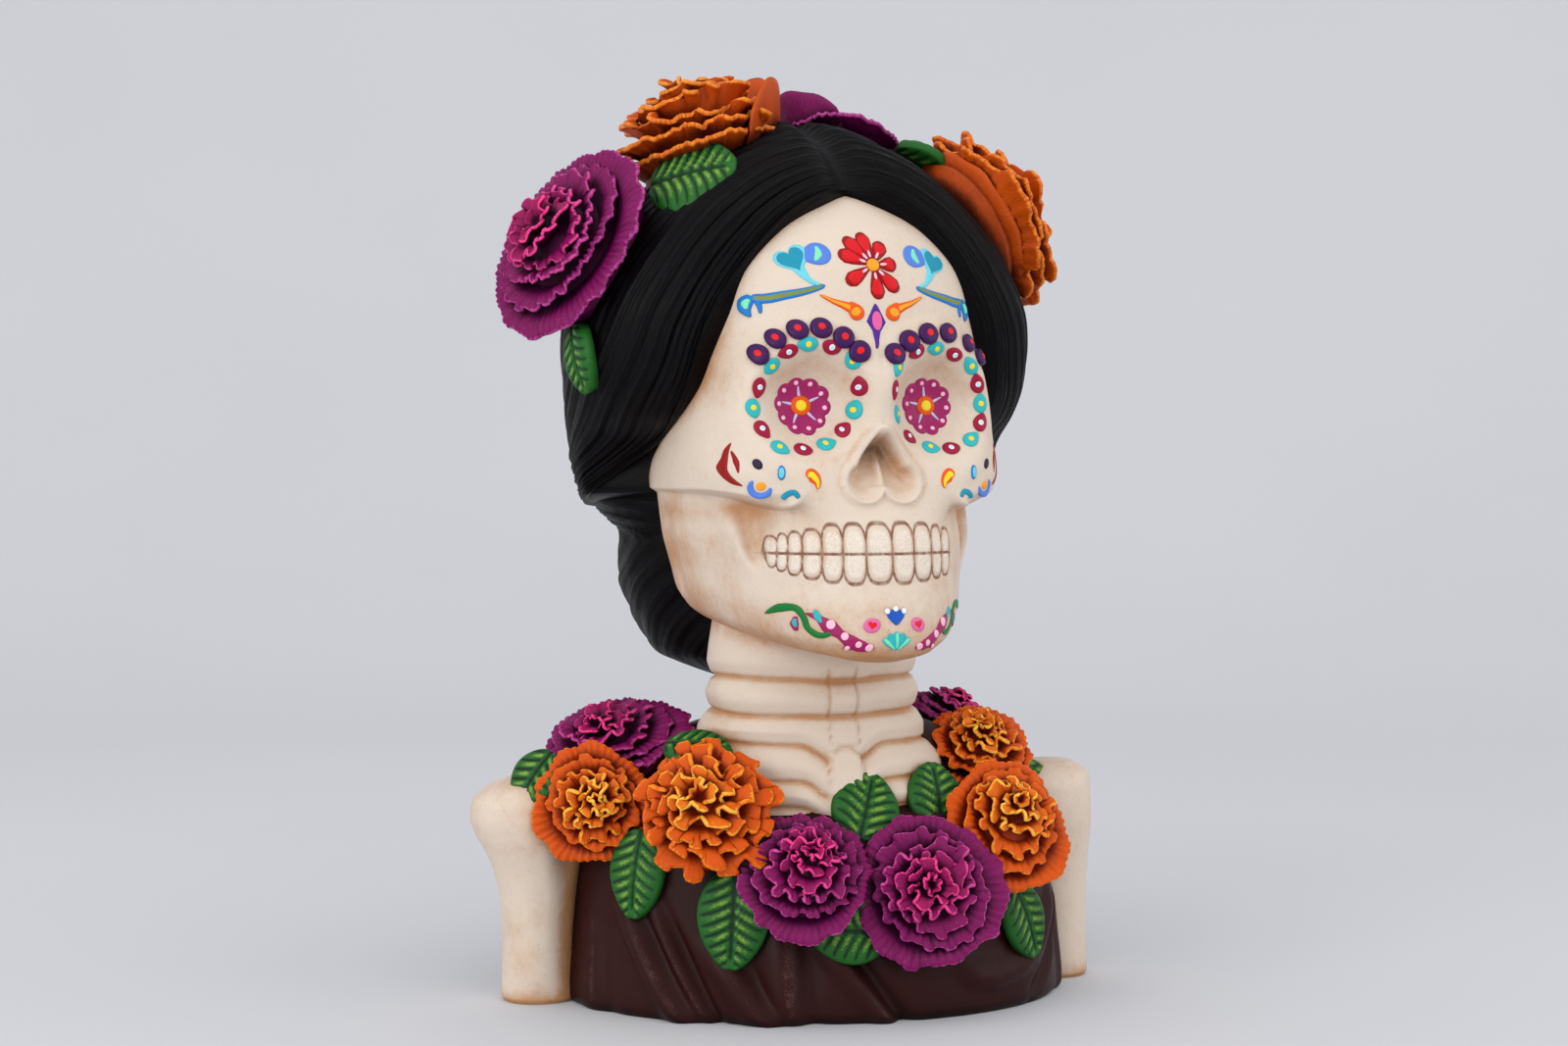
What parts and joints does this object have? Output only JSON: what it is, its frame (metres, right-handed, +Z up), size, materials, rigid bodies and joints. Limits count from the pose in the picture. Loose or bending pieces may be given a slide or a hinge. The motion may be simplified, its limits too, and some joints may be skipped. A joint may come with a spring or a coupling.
{
  "type": "catrina bust",
  "caption": "Painted cast catrina bust: a decorated skull with centre-parted hair and a flower crown, a ribbed neck, arm bones and a draped dress under a flower garland.",
  "frame": {"origin": "centre of the bounding box's underside, on the surface the bust stands on", "axes": "+Z up, -Y the way the face looks, +X to the right of a viewer who faces it"},
  "size_m": [0.1935, 0.1505, 0.276],
  "materials": {
    "painted_resin": "matt cream bone paint with a brown wash in the recesses",
    "hair_paint": "matt black paint",
    "dress_paint": "satin dark brown paint",
    "purple_petal_paint": "satin purple paint with pink dry-brushed edges",
    "orange_petal_paint": "satin orange paint with yellow dry-brushed edges",
    "leaf_paint": "satin green paint with light strokes between the veins",
    "face_paint": "satin paint in many bright colours, slightly raised"
  },
  "bodies": {
    "root": {"catrina_bust": "painted_resin"}
  },
  "joints": []
}
